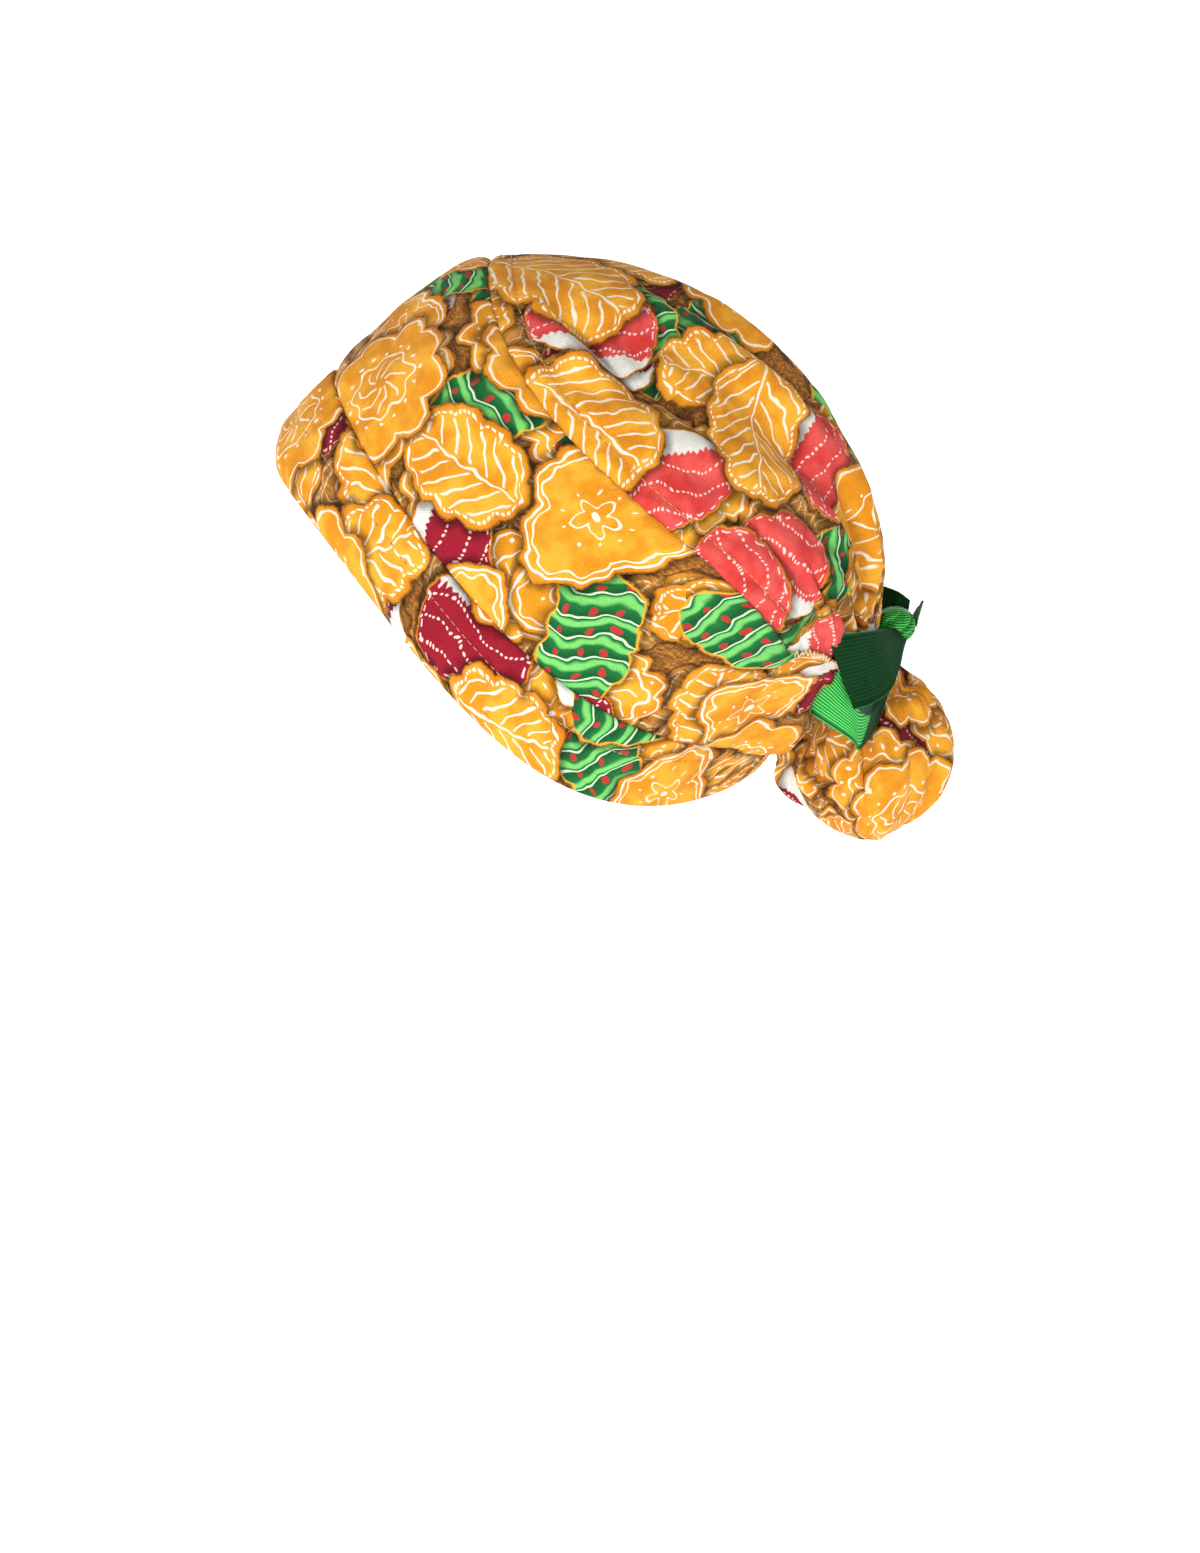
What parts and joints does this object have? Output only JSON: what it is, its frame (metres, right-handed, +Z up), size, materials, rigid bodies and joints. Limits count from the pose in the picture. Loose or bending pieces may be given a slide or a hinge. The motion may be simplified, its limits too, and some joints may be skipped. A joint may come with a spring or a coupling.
{
  "type": "scrub cap",
  "caption": "Ponytail scrub cap of printed cotton with a folded hem band, a gathered crown and a hair pouch behind it, drawn in by a satin ribbon bow.",
  "frame": {"origin": "middle of the opening for the head, where a head holds the cap up", "axes": "+Z up as worn, -Y where the forehead looks, +X the wearer's left; the ponytail pouch hangs at +Y"},
  "size_m": [0.1638, 0.2496, 0.215],
  "materials": {
    "printed_cotton": "matt woven cotton with an all-over print",
    "satin_ribbon": "ribbed satin"
  },
  "bodies": {
    "root": {"hem_band": "printed_cotton", "side_panel": "printed_cotton", "crown_panel": "printed_cotton", "ponytail_pouch": "printed_cotton", "ribbon_left": "satin_ribbon", "ribbon_right": "satin_ribbon", "ribbon_knot": "satin_ribbon", "bow_end_left": "satin_ribbon", "bow_end_right": "satin_ribbon", "bow_loop_right": "satin_ribbon"}
  },
  "joints": []
}
